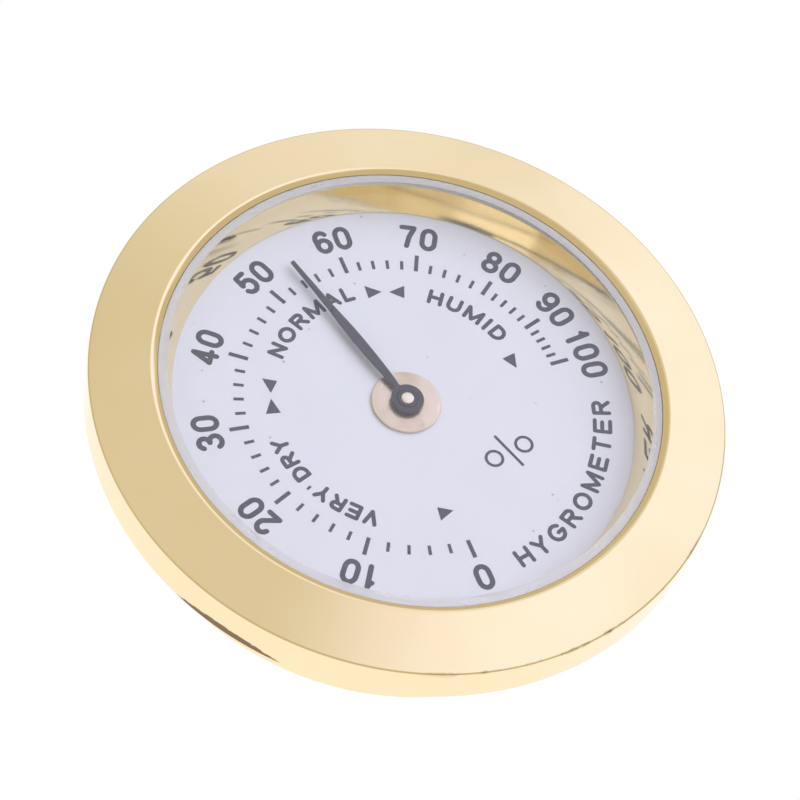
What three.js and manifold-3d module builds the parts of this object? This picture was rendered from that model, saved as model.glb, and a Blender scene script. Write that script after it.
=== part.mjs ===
// Dial hygrometer: a round insert instrument with a polished flange, a moulded
// lens, a printed dial and a pointer worked by a humidity-sensing coil.
//
// Units are millimetres. The axis of the dial is Y: the face looks towards -Y,
// 12 o'clock is +Z and 3 o'clock is +X. The origin is the centre of the outer
// box. Depths are measured from the front of the bezel's lip, towards the back.

import * as THREE from 'three';
import { mergeVertices } from 'three/addons/utils/BufferGeometryUtils.js';
import Module from 'manifold-3d';

const wasm = await Module();
wasm.setup();

// ---------------------------------------------------------------- dimensions

const TOTAL_DEPTH = 8.0;
const FLANGE_RADIUS = 18.5;
const FLANGE_EDGE_DEPTH = 0.75;
const FLANGE_BACK_DEPTH = 3.4;
const EDGE_BREAK = 0.1;
const SLEEVE_RADIUS = 16.25;
const SLEEVE_WALL = 0.63;
const SLEEVE_BORE = SLEEVE_RADIUS - SLEEVE_WALL;
const STACK_RADIUS = SLEEVE_BORE - 0.05;
const CRIMP_RADIUS = 15.1;
const CRIMP_DEPTH = 7.63;

const LIP_CREST_RADIUS = 15.05;
const LIP_BEVEL_RADIUS = 14.93;
const LIP_RADIUS = 14.62;
const LIP_BEVEL_DEPTH = 0.15;
const LIP_BACK_DEPTH = 0.95;

const LENS_FRONT_DEPTH = 0.2;
const LENS_BACK_DEPTH = 1.25;
const LENS_CHAMFER = 0.15;
const LENS_SIDE_GAP = 0.05;
const SEAT_GAP = 0.03;

const DIAL_FRONT_DEPTH = 3.0;
const DIAL_BACK_DEPTH = 3.4;
const DIAL_OPENING_RADIUS = 13.52;
const REFLECTOR_TOP_RADIUS = 14.35;

const CLAMP_RING_WALL = 0.95;
const COVER_FRONT_DEPTH = 7.03;
const COVER_BACK_DEPTH = 7.6;
const COVER_SHEET = COVER_BACK_DEPTH - COVER_FRONT_DEPTH;
const COVER_PAN_RADIUS = 14.4;
const COVER_PAN_SLOPE = 0.2;
const VENT_COUNT = 8;
const VENT_WIDTH = 1.8;
const VENT_INNER_RADIUS = 5.6;
const VENT_OUTER_RADIUS = 11.6;
const ADJUSTER_OPENING_RADIUS = 1.45;

const ARBOR_RADIUS = 0.4;
const PIVOT_RADIUS = 0.25;
const RUNNING_CLEARANCE = 0.05;
const PRESS_GAP = 0.02;
const BUSH_TUBE_RADIUS = 0.85;
const BUSH_DISC_RADIUS = 2.04;
const BUSH_DISC_DEPTH = 2.8;
const BUSH_RIVET_RADIUS = 1.15;
const PLATE_FRONT_DEPTH = 3.66;
const PLATE_BACK_DEPTH = 3.96;
const FRAME_WIDTH = 3.0;
const FRAME_HALF_LENGTH = 8.9;
const LEG_HALF_SPAN = 7.05;
const STRIP_THICKNESS = 0.3;
const BRIDGE_BACK_DEPTH = 6.6;
const FRAME_RIVET_OFFSET = 7.95;
const FRAME_RIVET_RADIUS = 0.4;
const RIVET_HEAD_RADIUS = 0.62;
const RIVET_HEAD_HEIGHT = 0.18;
const SCREW_SHANK_RADIUS = 0.7;

const COIL_FRONT_DEPTH = 4.45;
const COIL_BACK_DEPTH = 5.85;
const COIL_THICKNESS = 0.14;
const COIL_TURNS = 4.5;
const COIL_INNER_RADIUS = 1.03;
const COIL_STUD_OFFSET = 5.4;
const COLLET_RADIUS = 0.92;
const COIL_STUD_RADIUS = 0.5;
const STUD_SLOT_INNER = 0.13;
const STUD_SLOT_OUTER = 0.33;
const COIL_WEDGE_THICKNESS = 0.2;
const COIL_CLEARANCE = 0.1;

const POINTER_LENGTH = 11.17;
const POINTER_THICKNESS = 0.14;
const POINTER_FRONT_DEPTH = 2.44;
const POINTER_EYE_RADIUS = 0.96;
const HUB_SPIGOT_RADIUS = 0.6;
const HUB_SPIGOT_PROUD = 0.03;
const HUB_BUSH_GAP = 0.06;
const ARBOR_PROUD = 0.08;
const ARBOR_END_SHAKE = 0.1;
const POINTER_REST_ANGLE = THREE.MathUtils.degToRad(29.7);

const RING_FACETS = 96;
const SMALL_FACETS = 32;
const COIL_STEPS_PER_TURN = 24;
const CUTTER_EXCESS = 1;

// ----------------------------------------------------------------- materials

function finish(colour, roughness, metalness) {
  return new THREE.MeshStandardMaterial({ color: colour, roughness, metalness });
}

const GOLD = finish(0xe8c77a, 0.16, 1.0);
const BRASS = finish(0xc9a65a, 0.3, 1.0);
const STEEL = finish(0xb9bcc2, 0.3, 1.0);
const COPPER = finish(0xdcb8a0, 0.35, 0.9);
const CLEAR = finish(0xeef2f4, 0.05, 0.0);
const DIAL_WHITE = finish(0xdedde8, 0.45, 0.0);
const BLACK_LACQUER = finish(0x2a282c, 0.35, 0.1);
const BLACK_PLASTIC = finish(0x1f1f22, 0.5, 0.0);
const COIL_FILM = finish(0xb88a5e, 0.45, 0.6);

// ------------------------------------------------------------- shape helpers

const hygrometer = new THREE.Group();

function place(name, geometry, material) {
  const mesh = new THREE.Mesh(geometry, material);
  mesh.name = name;
  hygrometer.add(mesh);
  return mesh;
}

// The Y coordinate of a depth behind the front of the lip.
function atDepth(depth) {
  return depth - TOTAL_DEPTH / 2;
}

// A solid of revolution about Y. The outline lists [radius, depth] points. An
// outline that doesn't touch the axis is closed into a ring.
function turned(outline, facets) {
  const points = outline.map(([radius, depth]) => new THREE.Vector2(radius, atDepth(depth)));
  if (THREE.ShapeUtils.area(points) < 0) points.reverse();
  if (points[0].x > 0) points.push(points[0].clone());
  return new THREE.LatheGeometry(points, facets);
}

// A ring of rectangular section.
function ring(innerRadius, outerRadius, frontDepth, backDepth, facets) {
  const outline = [
    [innerRadius, frontDepth],
    [outerRadius, frontDepth],
    [outerRadius, backDepth],
    [innerRadius, backDepth],
  ];
  return turned(outline, facets);
}

// A solid cylinder along Y.
function rod(radius, frontDepth, backDepth, facets) {
  return turned([[0, frontDepth], [radius, frontDepth], [radius, backDepth], [0, backDepth]], facets);
}

// A flat plate facing along Y, from an outline drawn in X (right) and Z (up).
function plate(shape, frontDepth, backDepth) {
  const geometry = new THREE.ExtrudeGeometry(shape, {
    depth: backDepth - frontDepth,
    bevelEnabled: false,
    curveSegments: 8,
  });
  geometry.rotateX(Math.PI / 2);
  geometry.translate(0, atDepth(backDepth), 0);
  return geometry;
}

// A bar with round ends along Z, centred on the axis.
function roundEndedBar(width, halfLength, centreHeight = 0) {
  const half = width / 2;
  const straight = halfLength - half;
  const shape = new THREE.Shape();
  shape.absarc(0, centreHeight + straight, half, 0, Math.PI, false);
  shape.absarc(0, centreHeight - straight, half, Math.PI, 2 * Math.PI, false);
  return shape;
}

// -------------------------------------------------------- joins and cut-outs

function toSolid(geometry) {
  const bare = geometry.clone();
  bare.deleteAttribute('normal');
  bare.deleteAttribute('uv');
  const merged = mergeVertices(bare, 1e-5);
  const corners = merged.index.array;
  const triangles = [];
  for (let i = 0; i < corners.length; i += 3) {
    const [a, b, c] = [corners[i], corners[i + 1], corners[i + 2]];
    if (a !== b && b !== c && c !== a) triangles.push(a, b, c);
  }
  return new wasm.Manifold(new wasm.Mesh({
    numProp: 3,
    vertProperties: new Float32Array(merged.attributes.position.array),
    triVerts: new Uint32Array(triangles),
  }));
}

function toGeometry(solid) {
  const mesh = solid.getMesh();
  const geometry = new THREE.BufferGeometry();
  geometry.setAttribute('position', new THREE.BufferAttribute(new Float32Array(mesh.vertProperties), 3));
  geometry.setIndex(new THREE.BufferAttribute(new Uint32Array(mesh.triVerts), 1));
  geometry.computeVertexNormals();
  return geometry;
}

function cut(geometry, cutters) {
  let solid = toSolid(geometry);
  for (const cutter of cutters) solid = solid.subtract(toSolid(cutter));
  return toGeometry(solid);
}

function shifted(geometry, x, y, z) {
  return geometry.clone().translate(x, y, z);
}

// ---------------------------------------------------------------------- case

// The polished front ring: a coned face that falls from the lip to the outer
// edge, a straight rim, and a sleeve whose end is crimped over the rear cover.
function frontBezel() {
  return turned([
    [LIP_RADIUS, LIP_BACK_DEPTH],
    [LIP_RADIUS, LIP_BEVEL_DEPTH],
    [LIP_BEVEL_RADIUS, EDGE_BREAK / 4],
    [LIP_CREST_RADIUS, 0],
    [FLANGE_RADIUS - EDGE_BREAK, FLANGE_EDGE_DEPTH - EDGE_BREAK / 4],
    [FLANGE_RADIUS, FLANGE_EDGE_DEPTH + EDGE_BREAK],
    [FLANGE_RADIUS, FLANGE_BACK_DEPTH - EDGE_BREAK],
    [FLANGE_RADIUS - EDGE_BREAK, FLANGE_BACK_DEPTH],
    [SLEEVE_RADIUS, FLANGE_BACK_DEPTH],
    [SLEEVE_RADIUS, TOTAL_DEPTH - 2 * EDGE_BREAK],
    [SLEEVE_RADIUS - 2 * EDGE_BREAK, TOTAL_DEPTH],
    [CRIMP_RADIUS, TOTAL_DEPTH],
    [CRIMP_RADIUS, CRIMP_DEPTH],
    [SLEEVE_BORE, CRIMP_DEPTH],
    [SLEEVE_BORE, LIP_BACK_DEPTH],
  ], RING_FACETS);
}

// The moulded lens: a chamfered boss that fills the lip, on a wider foot that
// the lip holds from the front.
function lens() {
  const bossRadius = LIP_RADIUS - LENS_SIDE_GAP;
  const footDepth = LIP_BACK_DEPTH + SEAT_GAP;
  return turned([
    [0, LENS_FRONT_DEPTH],
    [bossRadius - LENS_CHAMFER, LENS_FRONT_DEPTH],
    [bossRadius, LENS_FRONT_DEPTH + LENS_CHAMFER],
    [bossRadius, footDepth],
    [STACK_RADIUS, footDepth],
    [STACK_RADIUS, LENS_BACK_DEPTH],
    [0, LENS_BACK_DEPTH],
  ], RING_FACETS);
}

// The bright coned ring that spaces the lens from the dial.
function reflectorRing() {
  const front = LENS_BACK_DEPTH + SEAT_GAP;
  const back = DIAL_FRONT_DEPTH - SEAT_GAP;
  return turned([
    [REFLECTOR_TOP_RADIUS, front],
    [STACK_RADIUS, front],
    [STACK_RADIUS, back],
    [DIAL_OPENING_RADIUS, back],
  ], RING_FACETS);
}

function dialPlate() {
  const hole = BUSH_TUBE_RADIUS + RUNNING_CLEARANCE;
  return ring(hole, STACK_RADIUS, DIAL_FRONT_DEPTH, DIAL_BACK_DEPTH, RING_FACETS);
}

// The plain ring that presses the dial forward when the cover is crimped in.
function dialClampRing() {
  const front = DIAL_BACK_DEPTH + SEAT_GAP;
  const back = COVER_FRONT_DEPTH - SEAT_GAP;
  return ring(STACK_RADIUS - CLAMP_RING_WALL, STACK_RADIUS, front, back, RING_FACETS);
}

// The rear cover: a sheet disc whose middle is pressed out into a flat pan, with
// a circle of radial air slots and an opening for the calibration screw.
function rearCover() {
  const panFront = TOTAL_DEPTH - COVER_SHEET;
  const disc = turned([
    [ADJUSTER_OPENING_RADIUS, panFront],
    [COVER_PAN_RADIUS - COVER_SHEET, panFront],
    [COVER_PAN_RADIUS - COVER_SHEET + COVER_PAN_SLOPE, COVER_FRONT_DEPTH],
    [STACK_RADIUS, COVER_FRONT_DEPTH],
    [STACK_RADIUS, COVER_BACK_DEPTH],
    [COVER_PAN_RADIUS + COVER_PAN_SLOPE, COVER_BACK_DEPTH],
    [COVER_PAN_RADIUS, TOTAL_DEPTH],
    [ADJUSTER_OPENING_RADIUS, TOTAL_DEPTH],
  ], RING_FACETS);
  const middle = (VENT_INNER_RADIUS + VENT_OUTER_RADIUS) / 2;
  const halfLength = (VENT_OUTER_RADIUS - VENT_INNER_RADIUS) / 2;
  const slot = plate(
    roundEndedBar(VENT_WIDTH, halfLength, middle),
    panFront - CUTTER_EXCESS,
    TOTAL_DEPTH + CUTTER_EXCESS,
  );
  const slots = [];
  for (let i = 0; i < VENT_COUNT; i += 1) {
    slots.push(slot.clone().rotateY((2 * Math.PI * (i + 0.5)) / VENT_COUNT));
  }
  return cut(disc, slots);
}

// ------------------------------------------------------------------ movement

// The copper bush in the middle of the dial. It turns in the dial's hole when
// the instrument is calibrated, and its tail is riveted over the plate behind.
function centreBush() {
  const bore = ARBOR_RADIUS + RUNNING_CLEARANCE;
  const discBack = DIAL_FRONT_DEPTH - SEAT_GAP;
  const rivetFront = PLATE_BACK_DEPTH + PRESS_GAP;
  return turned([
    [bore, BUSH_DISC_DEPTH],
    [BUSH_DISC_RADIUS, BUSH_DISC_DEPTH],
    [BUSH_DISC_RADIUS, discBack],
    [BUSH_TUBE_RADIUS, discBack],
    [BUSH_TUBE_RADIUS, rivetFront],
    [BUSH_RIVET_RADIUS, rivetFront],
    [BUSH_RIVET_RADIUS, rivetFront + EDGE_BREAK],
    [bore, rivetFront + 2 * EDGE_BREAK],
  ], SMALL_FACETS);
}

// The sprung washer that gives the calibration turn its friction.
function frictionWasher() {
  const front = DIAL_BACK_DEPTH + SEAT_GAP;
  const back = PLATE_FRONT_DEPTH - SEAT_GAP;
  return ring(BUSH_TUBE_RADIUS + PRESS_GAP, BUSH_DISC_RADIUS, front, back, SMALL_FACETS);
}

function movementPlate() {
  const bar = plate(roundEndedBar(FRAME_WIDTH, FRAME_HALF_LENGTH), PLATE_FRONT_DEPTH, PLATE_BACK_DEPTH);
  const throughFront = PLATE_FRONT_DEPTH - CUTTER_EXCESS;
  const throughBack = PLATE_BACK_DEPTH + CUTTER_EXCESS;
  const rivetHole = rod(FRAME_RIVET_RADIUS + PRESS_GAP, throughFront, throughBack, SMALL_FACETS / 2);
  const studHole = rod(COIL_STUD_RADIUS + PRESS_GAP, throughFront, throughBack, SMALL_FACETS / 2);
  return cut(bar, [
    rod(BUSH_TUBE_RADIUS + PRESS_GAP, throughFront, throughBack, SMALL_FACETS),
    shifted(rivetHole, 0, 0, FRAME_RIVET_OFFSET),
    shifted(rivetHole, 0, 0, -FRAME_RIVET_OFFSET),
    shifted(studHole, 0, 0, -COIL_STUD_OFFSET),
  ]);
}

// The bridge: a strip bent over the coil, with a foot at each end on the plate.
// Its outline is drawn in Z and depth, and pushed out along X.
function movementBridge() {
  const footFront = atDepth(PLATE_BACK_DEPTH + PRESS_GAP);
  const footBack = footFront + STRIP_THICKNESS;
  const spanBack = atDepth(BRIDGE_BACK_DEPTH);
  const spanFront = spanBack - STRIP_THICKNESS;
  const inner = LEG_HALF_SPAN - STRIP_THICKNESS;
  const outline = [
    [inner, footFront],
    [FRAME_HALF_LENGTH, footFront],
    [FRAME_HALF_LENGTH, footBack],
    [LEG_HALF_SPAN, footBack],
    [LEG_HALF_SPAN, spanBack - STRIP_THICKNESS],
    [LEG_HALF_SPAN - STRIP_THICKNESS, spanBack],
  ];
  const mirrored = outline.map(([z, y]) => [-z, y]).reverse();
  const innerSpan = [[-inner, spanFront - EDGE_BREAK], [-inner + EDGE_BREAK, spanFront]];
  const innerSpanBack = [[inner - EDGE_BREAK, spanFront], [inner, spanFront - EDGE_BREAK]];
  const points = [...outline, ...mirrored, ...innerSpan, ...innerSpanBack];
  const shape = new THREE.Shape(points.map(([z, y]) => new THREE.Vector2(z, y)));
  const strip = new THREE.ExtrudeGeometry(shape, { depth: FRAME_WIDTH, bevelEnabled: false });
  strip.rotateY(-Math.PI / 2);
  strip.translate(FRAME_WIDTH / 2, 0, 0);
  const rivetHole = rod(
    FRAME_RIVET_RADIUS + PRESS_GAP,
    PLATE_FRONT_DEPTH,
    BRIDGE_BACK_DEPTH + CUTTER_EXCESS,
    SMALL_FACETS / 2,
  );
  const shankHole = rod(
    SCREW_SHANK_RADIUS + PRESS_GAP,
    COIL_BACK_DEPTH,
    BRIDGE_BACK_DEPTH + CUTTER_EXCESS,
    SMALL_FACETS,
  );
  return cut(strip, [
    shankHole,
    shifted(rivetHole, 0, 0, FRAME_RIVET_OFFSET),
    shifted(rivetHole, 0, 0, -FRAME_RIVET_OFFSET),
  ]);
}

// A rivet through the plate and one foot of the bridge, with a head each side.
function frameRivet(height) {
  const headFront = PLATE_FRONT_DEPTH - PRESS_GAP;
  const headBack = PLATE_BACK_DEPTH + STRIP_THICKNESS + 2 * PRESS_GAP;
  const rivet = turned([
    [0, headFront - RIVET_HEAD_HEIGHT],
    [RIVET_HEAD_RADIUS - EDGE_BREAK, headFront - RIVET_HEAD_HEIGHT],
    [RIVET_HEAD_RADIUS, headFront],
    [FRAME_RIVET_RADIUS, headFront],
    [FRAME_RIVET_RADIUS, headBack],
    [RIVET_HEAD_RADIUS, headBack],
    [RIVET_HEAD_RADIUS - EDGE_BREAK, headBack + RIVET_HEAD_HEIGHT],
    [0, headBack + RIVET_HEAD_HEIGHT],
  ], SMALL_FACETS / 2);
  return shifted(rivet, 0, 0, height);
}

// The slotted screw at the back. It is riveted into the bridge, its front end
// holds the arbor's rear pivot, and turning it turns the whole movement.
function calibrationScrew() {
  const spanFront = BRIDGE_BACK_DEPTH - STRIP_THICKNESS;
  const collarRadius = 1.0;
  const collarThickness = 0.25;
  const headRadius = ADJUSTER_OPENING_RADIUS - 2 * RUNNING_CLEARANCE;
  const collarFront = spanFront - collarThickness;
  const headBack = TOTAL_DEPTH - 2 * EDGE_BREAK;
  const bore = PIVOT_RADIUS + RUNNING_CLEARANCE;
  const boreDepth = BRIDGE_BACK_DEPTH;
  const screw = turned([
    [bore, collarFront],
    [collarRadius, collarFront],
    [collarRadius, spanFront - PRESS_GAP],
    [SCREW_SHANK_RADIUS, spanFront - PRESS_GAP],
    [SCREW_SHANK_RADIUS, BRIDGE_BACK_DEPTH + PRESS_GAP],
    [headRadius, BRIDGE_BACK_DEPTH + PRESS_GAP],
    [headRadius, headBack - EDGE_BREAK],
    [headRadius - EDGE_BREAK, headBack],
    [0, headBack],
    [0, boreDepth],
    [bore, boreDepth],
  ], SMALL_FACETS);
  const slotWidth = 0.4;
  const slotDepth = 0.45;
  const slotLength = 2 * (headRadius + CUTTER_EXCESS);
  const slot = new THREE.BoxGeometry(slotLength, 2 * slotDepth, slotWidth);
  slot.translate(0, atDepth(headBack), 0);
  return cut(screw, [slot]);
}

// The stud whose slot takes the coil's outer end, with the wedge outside it.
function coilStud() {
  const back = COIL_BACK_DEPTH + COIL_CLEARANCE;
  const stud = rod(COIL_STUD_RADIUS, PLATE_FRONT_DEPTH, back, SMALL_FACETS / 2);
  const slotWidth = STUD_SLOT_INNER + STUD_SLOT_OUTER;
  const slotMiddle = (STUD_SLOT_INNER - STUD_SLOT_OUTER) / 2;
  const slotDepth = back - COIL_FRONT_DEPTH + COIL_CLEARANCE;
  const slotLength = 2 * (COIL_STUD_RADIUS + CUTTER_EXCESS);
  const slot = new THREE.BoxGeometry(slotLength, 2 * slotDepth, slotWidth);
  slot.translate(0, atDepth(back), slotMiddle);
  return shifted(cut(stud, [slot]), 0, 0, -COIL_STUD_OFFSET);
}

// The tapered key that wedges the strip against the stud.
function coilWedge() {
  const near = -COIL_STUD_OFFSET - STUD_SLOT_OUTER + PRESS_GAP;
  const halfLength = 0.8;
  const taper = 0.04;
  const back = COIL_BACK_DEPTH - 2 * COIL_CLEARANCE;
  const shape = new THREE.Shape([
    new THREE.Vector2(-halfLength, near),
    new THREE.Vector2(halfLength, near),
    new THREE.Vector2(halfLength, near + COIL_WEDGE_THICKNESS - taper),
    new THREE.Vector2(-halfLength, near + COIL_WEDGE_THICKNESS),
  ]);
  return plate(shape, COIL_FRONT_DEPTH, back);
}

// The sensing coil: a thin strip wound in a flat spiral. The first half turn
// hugs the collet, and the last few degrees pass through the stud's slot.
function sensingCoil() {
  const hugging = Math.PI;
  const studAngle = hugging + 2 * Math.PI * COIL_TURNS;
  const pitch = (COIL_STUD_OFFSET - COIL_INNER_RADIUS) / COIL_TURNS;
  const tail = THREE.MathUtils.degToRad(8);
  const steps = Math.ceil(((studAngle + tail) / (2 * Math.PI)) * COIL_STEPS_PER_TURN);
  const outer = [];
  const inner = [];
  for (let i = 0; i <= steps; i += 1) {
    const turn = ((studAngle + tail) * i) / steps;
    const radius = COIL_INNER_RADIUS + (pitch * Math.max(0, turn - hugging)) / (2 * Math.PI);
    const angle = turn - studAngle - Math.PI / 2;
    const direction = new THREE.Vector2(Math.cos(angle), Math.sin(angle));
    outer.push(direction.clone().multiplyScalar(radius + COIL_THICKNESS / 2));
    inner.push(direction.clone().multiplyScalar(radius - COIL_THICKNESS / 2));
  }
  return plate(new THREE.Shape([...outer, ...inner.reverse()]), COIL_FRONT_DEPTH, COIL_BACK_DEPTH);
}

// ------------------------------------------------------------------- pointer

function arbor() {
  const front = POINTER_FRONT_DEPTH - ARBOR_PROUD;
  const shoulder = COIL_BACK_DEPTH + COIL_CLEARANCE;
  const back = BRIDGE_BACK_DEPTH - ARBOR_END_SHAKE;
  const edge = ARBOR_PROUD / 2;
  return turned([
    [0, front],
    [ARBOR_RADIUS - edge, front],
    [ARBOR_RADIUS, front + edge],
    [ARBOR_RADIUS, shoulder],
    [PIVOT_RADIUS, shoulder],
    [PIVOT_RADIUS, back],
    [0, back],
  ], SMALL_FACETS);
}

function coilCollet() {
  const front = COIL_FRONT_DEPTH - COIL_CLEARANCE / 2;
  return ring(ARBOR_RADIUS + PRESS_GAP, COLLET_RADIUS, front, COIL_BACK_DEPTH, SMALL_FACETS);
}

// The black collar that carries the pointer: a spigot through the pointer's eye
// on a shoulder behind it.
function pointerHub() {
  const bore = ARBOR_RADIUS + PRESS_GAP;
  const front = POINTER_FRONT_DEPTH - HUB_SPIGOT_PROUD;
  const eyeBack = POINTER_FRONT_DEPTH + POINTER_THICKNESS + PRESS_GAP;
  const shoulderRadius = POINTER_EYE_RADIUS - EDGE_BREAK;
  const back = BUSH_DISC_DEPTH - HUB_BUSH_GAP;
  return turned([
    [bore, front],
    [HUB_SPIGOT_RADIUS, front],
    [HUB_SPIGOT_RADIUS, eyeBack],
    [shoulderRadius, eyeBack],
    [shoulderRadius, back],
    [bore, back],
  ], SMALL_FACETS);
}

// The needle: narrow at the eye, widest before its middle, with a blunt tip.
function pointer() {
  const neck = 0.16;
  const belly = 0.31;
  const bellyDistance = 5.4;
  const bellyFullness = 1.6;
  const shoulder = 0.17;
  const shoulderDistance = 9.0;
  const tip = 0.12;
  const neckHeight = Math.sqrt(POINTER_EYE_RADIUS ** 2 - neck ** 2);
  const eyeAngle = Math.acos(neck / POINTER_EYE_RADIUS);
  const shape = new THREE.Shape();
  shape.moveTo(neck, neckHeight);
  shape.quadraticCurveTo(belly, bellyDistance / 2, belly, bellyDistance);
  shape.quadraticCurveTo(belly, bellyDistance + bellyFullness, shoulder, shoulderDistance);
  shape.lineTo(tip, POINTER_LENGTH);
  shape.lineTo(-tip, POINTER_LENGTH);
  shape.lineTo(-shoulder, shoulderDistance);
  shape.quadraticCurveTo(-belly, bellyDistance + bellyFullness, -belly, bellyDistance);
  shape.quadraticCurveTo(-belly, bellyDistance / 2, -neck, neckHeight);
  shape.absarc(0, 0, POINTER_EYE_RADIUS, Math.PI - eyeAngle, 2 * Math.PI + eyeAngle, false);
  const blade = plate(shape, POINTER_FRONT_DEPTH, POINTER_FRONT_DEPTH + POINTER_THICKNESS);
  const eye = rod(HUB_SPIGOT_RADIUS + PRESS_GAP, 0, DIAL_FRONT_DEPTH, SMALL_FACETS);
  return cut(blade, [eye]).rotateY(POINTER_REST_ANGLE);
}

// ------------------------------------------------------------------ assembly

place('front_bezel', frontBezel(), GOLD);
place('lens', lens(), CLEAR);
place('reflector_ring', reflectorRing(), GOLD);
place('dial_plate', dialPlate(), DIAL_WHITE);
place('dial_clamp_ring', dialClampRing(), BLACK_PLASTIC);
place('rear_cover', rearCover(), BRASS);

place('centre_bush', centreBush(), COPPER);
place('friction_washer', frictionWasher(), STEEL);
place('movement_plate', movementPlate(), BRASS);
place('movement_bridge', movementBridge(), BRASS);
place('bridge_rivet_upper', frameRivet(FRAME_RIVET_OFFSET), STEEL);
place('bridge_rivet_lower', frameRivet(-FRAME_RIVET_OFFSET), STEEL);
place('calibration_screw', calibrationScrew(), BRASS);
place('coil_stud', coilStud(), BRASS);
place('coil_wedge', coilWedge(), STEEL);
place('sensing_coil', sensingCoil(), COIL_FILM);

place('arbor', arbor(), BRASS);
place('coil_collet', coilCollet(), BRASS);
place('pointer_hub', pointerHub(), BLACK_LACQUER);
place('pointer', pointer(), BLACK_LACQUER);

export default hygrometer;
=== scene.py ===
"""Looks for the dial hygrometer: fine turned pieces, a printed dial, and procedural materials.

Lengths in the tables below are millimetres and are turned into metres by the mesh helpers. The dial
faces -Y, +Z is 12 o'clock and +X is 3 o'clock. A depth is measured back from the front of the bezel's
lip, and a radius from the dial's axis. Angles on the dial are degrees clockwise from 12 o'clock.
"""

import math

import bpy
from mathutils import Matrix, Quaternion, Vector
from mathutils.geometry import delaunay_2d_cdt


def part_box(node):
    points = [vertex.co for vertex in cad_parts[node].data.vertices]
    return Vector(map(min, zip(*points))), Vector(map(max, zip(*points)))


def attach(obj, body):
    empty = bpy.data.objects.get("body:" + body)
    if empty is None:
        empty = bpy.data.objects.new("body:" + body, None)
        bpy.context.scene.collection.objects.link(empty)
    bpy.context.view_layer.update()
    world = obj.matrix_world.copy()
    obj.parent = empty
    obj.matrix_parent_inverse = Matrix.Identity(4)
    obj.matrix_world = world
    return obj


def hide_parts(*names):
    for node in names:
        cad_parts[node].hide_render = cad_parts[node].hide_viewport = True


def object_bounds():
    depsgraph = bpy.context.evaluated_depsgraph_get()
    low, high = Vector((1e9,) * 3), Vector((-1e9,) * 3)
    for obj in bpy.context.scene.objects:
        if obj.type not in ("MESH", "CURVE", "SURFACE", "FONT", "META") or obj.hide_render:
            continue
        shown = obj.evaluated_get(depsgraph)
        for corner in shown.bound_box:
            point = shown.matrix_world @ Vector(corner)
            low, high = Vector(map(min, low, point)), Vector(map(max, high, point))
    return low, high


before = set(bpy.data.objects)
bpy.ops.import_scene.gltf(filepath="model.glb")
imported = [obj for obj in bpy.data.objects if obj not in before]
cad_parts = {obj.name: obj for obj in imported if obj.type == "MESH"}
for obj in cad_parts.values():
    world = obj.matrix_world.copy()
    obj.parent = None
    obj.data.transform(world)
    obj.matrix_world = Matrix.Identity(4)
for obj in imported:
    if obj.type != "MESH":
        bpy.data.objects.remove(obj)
cad_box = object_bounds()

MM = 0.001


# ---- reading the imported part

def radius_of(node):
    """The outer radius of a turned CAD node, in mm."""
    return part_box(node)[1].x / MM


def front_of(node):
    """The depth of a CAD node's front, in mm."""
    return (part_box(node)[0].y - cad_box[0].y) / MM


def back_of(node):
    """The depth of a CAD node's back, in mm."""
    return (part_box(node)[1].y - cad_box[0].y) / MM


FRONT_Y = cad_box[0].y / MM
TOTAL_DEPTH = back_of("front_bezel")
FLANGE_RADIUS = radius_of("front_bezel")
STACK_RADIUS = radius_of("dial_plate")
DIAL_FRONT = front_of("dial_plate")

# Radii and depths inside the case that no node's box gives.
LIP_RADIUS = 14.62
LIP_CREST_RADIUS = 15.05
LIP_CREST_WIDTH = 0.12
LIP_CREST_DROP = 0.025
LIP_BEVEL_DEPTH = 0.18
LIP_BACK_DEPTH = 0.95
FLANGE_EDGE_DEPTH = 0.75
FLANGE_EDGE_CHAMFER = 0.05
FLANGE_BACK_DEPTH = 3.4
FLANGE_BACK_CHAMFER = 0.1
SLEEVE_RADIUS = 16.25
SLEEVE_CHAMFER = 0.2
SLEEVE_BORE = 15.62
CRIMP_RADIUS = 15.1
CRIMP_DEPTH = 7.63
LENS_CHAMFER = 0.04
LENS_CHAMFER_WIDTH = 0.5
LENS_BOSS_RADIUS = 14.6
LENS_WINDOW_RADIUS = 14.33
GROUND_FINISH, FROSTED_FINISH = 1, 2
REFLECTOR_TOP_RADIUS = 14.35
HAIRLINE = 0.03
DIAL_OPENING_RADIUS = 13.52
COVER_RIM_BACK = 7.6
COVER_PAN_RADIUS = 14.4
COVER_SHEET = 0.57
COVER_SLOPE = 0.2
ADJUSTER_OPENING_RADIUS = 1.45
ARBOR_RADIUS = 0.4
BUSH_BORE = 0.45
BUSH_TUBE_RADIUS = 0.85
BUSH_RIVET_RADIUS = 1.15
PIVOT_RADIUS = 0.25
HUB_SPIGOT_RADIUS = 0.6
EYE_RADIUS = 0.96
POINTER_LENGTH = 11.17
POINTER_ANGLE = 29.7

RING_SEGMENTS = 288
SMALL_SEGMENTS = 96


# ---- mesh helpers

def place(name, points, faces, body, material, replaced=()):
    """A mesh piece from points in mm, riding on a body and standing for CAD nodes."""
    mesh = bpy.data.meshes.new(name)
    mesh.from_pydata([Vector(p) * MM for p in points], [], faces)
    mesh.validate()
    mesh.update()
    mesh.shade_smooth()
    piece = bpy.data.objects.new(name, mesh)
    bpy.context.scene.collection.objects.link(piece)
    mesh.materials.append(material)
    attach(piece, body)
    if replaced:
        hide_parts(*replaced)
    return piece


def even_normals(piece):
    """Keeps flats flat and rounds smooth."""
    piece.modifiers.new("even normals", "WEIGHTED_NORMAL").weight = 100


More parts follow.
